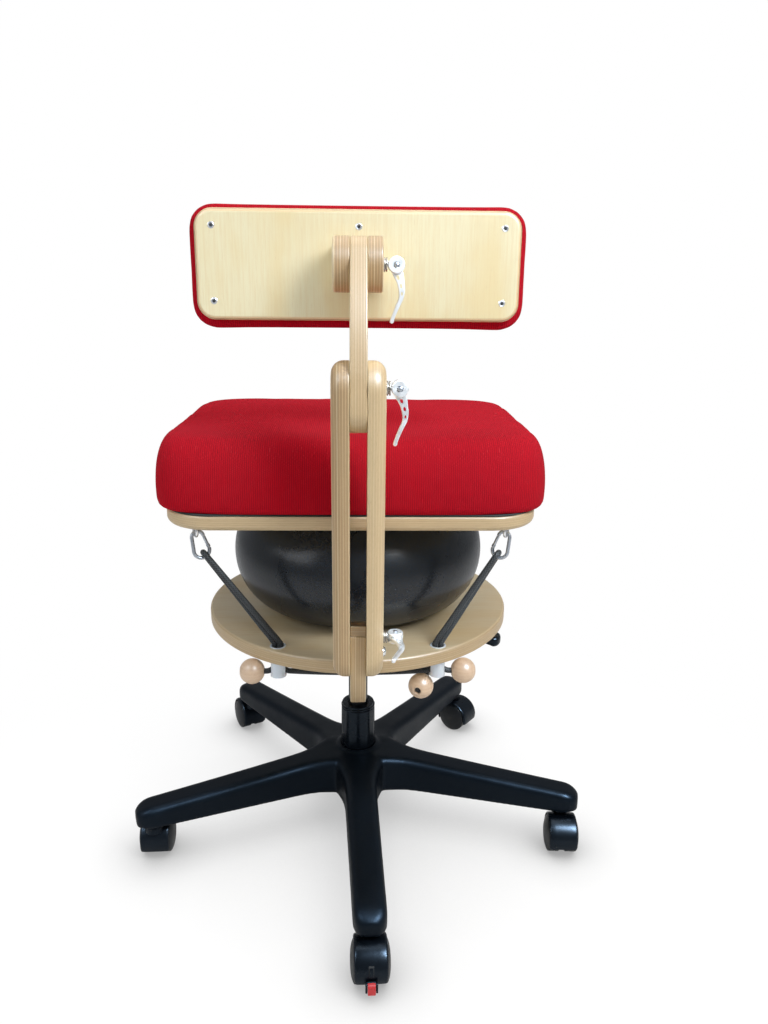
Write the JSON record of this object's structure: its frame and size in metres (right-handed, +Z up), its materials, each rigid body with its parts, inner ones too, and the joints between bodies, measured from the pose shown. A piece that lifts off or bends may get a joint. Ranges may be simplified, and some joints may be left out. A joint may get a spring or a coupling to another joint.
{
  "type": "balance ball chair",
  "caption": "Office chair whose padded seat rests on an exercise ball tied down with elastic cords, on a gas-lift caster base with a tilting plywood backrest.",
  "frame": {"origin": "on the floor, at the centre of the whole chair's footprint box", "axes": "+Z up, +Y the way the sitter faces, +X to the sitter's right, where the clamp levers are"},
  "size_m": [0.6322, 0.6588, 0.872],
  "materials": {
    "black_nylon": "fine-textured black nylon",
    "black_steel": "black powder-coated steel",
    "steel": "polished steel",
    "birch_ply": "clear-varnished birch plywood",
    "beech": "turned beech, lightly varnished",
    "elastic": "braided elastic cord, dark",
    "ball_vinyl": "satin anthracite vinyl",
    "red_knit": "red knitted cover with fine vertical ribs",
    "white_tube": "white plastic tube",
    "red_pedal": "red moulded plastic"
  },
  "bodies": {
    "base": {"star_base": "black_nylon", "column_tube": "black_steel", "column_bush": "black_nylon"},
    "rod": {"gas_rod": "steel"},
    "caster_rear": {"caster_hood_rear": "black_nylon"},
    "wheels_rear": {"caster_wheels_rear": "black_nylon"},
    "caster_right": {"caster_hood_right": "black_nylon"},
    "wheels_right": {"caster_wheels_right": "black_nylon"},
    "caster_front_right": {"caster_hood_front_right": "black_nylon"},
    "wheels_front_right": {"caster_wheels_front_right": "black_nylon"},
    "caster_front_left": {"caster_hood_front_left": "black_nylon"},
    "wheels_front_left": {"caster_wheels_front_left": "black_nylon"},
    "caster_left": {"caster_hood_left": "black_nylon"},
    "wheels_left": {"caster_wheels_left": "black_nylon"},
    "brake": {"brake_pedal": "red_pedal"},
    "carriage": {"gas_cylinder": "black_steel", "lift_plate": "black_steel", "base_disc": "birch_ply", "back_bracket": "birch_ply", "bracket_cap": "birch_ply", "cord_tube_rear_left": "white_tube", "cord_tube_rear_right": "white_tube", "cord_tube_front_left": "white_tube", "cord_tube_front_right": "white_tube", "elastic_cord_rear": "elastic", "elastic_cord_front": "elastic", "wooden_ball_rear_left": "beech", "wooden_ball_rear_right": "beech", "wooden_ball_front_left": "beech", "wooden_ball_tail": "beech"},
    "lift_lever": {"lift_lever": "black_nylon"},
    "ball": {"exercise_ball": "ball_vinyl"},
    "seat": {"seat_board": "birch_ply", "seat_cushion": "red_knit", "seat_eye_rear_left": "steel", "seat_eye_rear_right": "steel", "seat_eye_front_left": "steel", "seat_eye_front_right": "steel", "carabiner_rear_left": "steel", "carabiner_rear_right": "steel", "carabiner_front_left": "steel", "carabiner_front_right": "steel"},
    "gate_rear_left": {"carabiner_gate_rear_left": "steel"},
    "gate_rear_right": {"carabiner_gate_rear_right": "steel"},
    "gate_front_left": {"carabiner_gate_front_left": "steel"},
    "gate_front_right": {"carabiner_gate_front_right": "steel"},
    "uprights": {"upright_left": "birch_ply", "upright_right": "birch_ply", "pivot_bolt": "steel", "tilt_skewer": "steel", "arm_skewer": "steel"},
    "tilt_lever": {"tilt_lever": "steel"},
    "arm": {"upper_arm": "birch_ply"},
    "arm_lever": {"arm_lever": "steel"},
    "back": {"back_panel": "birch_ply", "back_cushion": "red_knit", "cheek_left": "birch_ply", "cheek_right": "birch_ply", "back_skewer": "steel"},
    "back_lever": {"back_lever": "steel"}
  },
  "joints": [
    {"name": "caster_swivel_rear", "type": "hinge", "parent": "base", "child": "caster_rear", "pos_m": [0.01014, -0.26761, 0.055], "axis": [0, 0, 1], "continuous": true},
    {"name": "wheel_spin_rear", "type": "hinge", "parent": "caster_rear", "child": "wheels_rear", "pos_m": [0.01077, -0.2856, 0.02462], "axis": [0.9994, 0.0349, 0], "continuous": true},
    {"name": "caster_swivel_right", "type": "hinge", "parent": "base", "child": "caster_right", "pos_m": [0.29088, -0.0427, 0.055], "axis": [0, 0, 1], "continuous": true},
    {"name": "wheel_spin_right", "type": "hinge", "parent": "caster_right", "child": "wheels_right", "pos_m": [0.28962, -0.06065, 0.02462], "axis": [0.9976, -0.0698, 0], "continuous": true},
    {"name": "caster_swivel_front_right", "type": "hinge", "parent": "base", "child": "caster_front_right", "pos_m": [0.16373, 0.2938, 0.055], "axis": [0, 0, 1], "continuous": true},
    {"name": "wheel_spin_front_right", "type": "hinge", "parent": "caster_front_right", "child": "wheels_front_right", "pos_m": [0.17791, 0.28272, 0.02462], "axis": [0.6157, 0.788, 0], "continuous": true},
    {"name": "caster_swivel_front_left", "type": "hinge", "parent": "base", "child": "caster_front_left", "pos_m": [-0.1956, 0.27686, 0.055], "axis": [0, 0, 1], "continuous": true},
    {"name": "wheel_spin_front_left", "type": "hinge", "parent": "caster_front_left", "child": "wheels_front_left", "pos_m": [-0.20405, 0.29275, 0.02462], "axis": [-0.8829, -0.4695, 0], "continuous": true},
    {"name": "caster_swivel_left", "type": "hinge", "parent": "base", "child": "caster_left", "pos_m": [-0.29052, -0.07011, 0.055], "axis": [0, 0, 1], "continuous": true},
    {"name": "wheel_spin_left", "type": "hinge", "parent": "caster_left", "child": "wheels_left", "pos_m": [-0.29115, -0.05213, 0.02462], "axis": [-0.9994, -0.0349, 0], "continuous": true},
    {"name": "brake_press", "type": "hinge", "parent": "caster_rear", "child": "brake", "pos_m": [0.01187, -0.31728, 0.02462], "axis": [0.9994, 0.0349, 0], "range_deg": [0, 18]},
    {"name": "column_swivel", "type": "hinge", "parent": "base", "child": "rod", "pos_m": [-0.00428, 0.03805, 0.05], "axis": [0, 0, 1], "continuous": true},
    {"name": "lift_slide", "type": "slide", "parent": "rod", "child": "carriage", "axis": [0, 0, 1], "range_m": [-0.08, 0.04]},
    {"name": "lift_lever_rock", "type": "hinge", "parent": "carriage", "child": "lift_lever", "pos_m": [0.02217, 0.02884, 0.313], "axis": [-0.3289, -0.9444, 0], "range_deg": [0, 4], "stiffness_Nm_per_rad": 1, "springref_deg": -5.73},
    {"name": "seat_roll", "type": "hinge", "parent": "carriage", "child": "ball", "pos_m": [-0.00428, 0.03805, 0.4325], "axis": [0, 1, 0], "range_deg": [-4, 4], "stiffness_Nm_per_rad": 200, "deforming": ["exercise_ball", "elastic_cord_rear", "elastic_cord_front"]},
    {"name": "seat_pitch", "type": "hinge", "parent": "ball", "child": "seat", "pos_m": [-0.00428, 0.03805, 0.4325], "axis": [1, 0, 0], "range_deg": [-4, 4], "stiffness_Nm_per_rad": 200, "deforming": ["exercise_ball", "elastic_cord_rear", "elastic_cord_front"]},
    {"name": "gate_rear_left", "type": "hinge", "parent": "seat", "child": "gate_rear_left", "pos_m": [-0.18599, -0.12364, 0.48479], "axis": [0.4101, -0.9063, 0.1022], "range_deg": [0, 16], "stiffness_Nm_per_rad": 0.05, "springref_deg": -2.86},
    {"name": "gate_rear_right", "type": "hinge", "parent": "seat", "child": "gate_rear_right", "pos_m": [0.16144, -0.12364, 0.48479], "axis": [0.4101, 0.9063, -0.1022], "range_deg": [0, 16], "stiffness_Nm_per_rad": 0.05, "springref_deg": -2.86},
    {"name": "gate_front_left", "type": "hinge", "parent": "seat", "child": "gate_front_left", "pos_m": [-0.20142, 0.20716, 0.48095], "axis": [0.4101, 0.9063, 0.1022], "range_deg": [0, 16], "stiffness_Nm_per_rad": 0.05, "springref_deg": -2.86},
    {"name": "gate_front_right", "type": "hinge", "parent": "seat", "child": "gate_front_right", "pos_m": [0.17687, 0.20716, 0.48095], "axis": [0.4101, -0.9063, -0.1022], "range_deg": [0, 16], "stiffness_Nm_per_rad": 0.05, "springref_deg": -2.86},
    {"name": "upright_tilt", "type": "hinge", "parent": "carriage", "child": "uprights", "pos_m": [-0.00428, -0.20465, 0.381], "axis": [1, 0, 0], "range_deg": [-3, 15]},
    {"name": "arm_tilt", "type": "hinge", "parent": "uprights", "child": "arm", "pos_m": [-0.00428, -0.22795, 0.686], "axis": [1, 0, 0], "range_deg": [-20, 25]},
    {"name": "back_tilt", "type": "hinge", "parent": "arm", "child": "back", "pos_m": [-0.00428, -0.17595, 0.808], "axis": [1, 0, 0], "range_deg": [-15, 30]},
    {"name": "tilt_release", "type": "hinge", "parent": "uprights", "child": "tilt_lever", "pos_m": [0.03803, -0.20614, 0.40044], "axis": [0, -0.0349, 0.9994], "range_deg": [0, 150]},
    {"name": "arm_release", "type": "hinge", "parent": "uprights", "child": "arm_lever", "pos_m": [0.03803, -0.22795, 0.686], "axis": [0, -1, 0], "range_deg": [0, 150]},
    {"name": "back_release", "type": "hinge", "parent": "back", "child": "back_lever", "pos_m": [0.03503, -0.17595, 0.808], "axis": [0, -1, 0], "range_deg": [0, 150]}
  ]
}
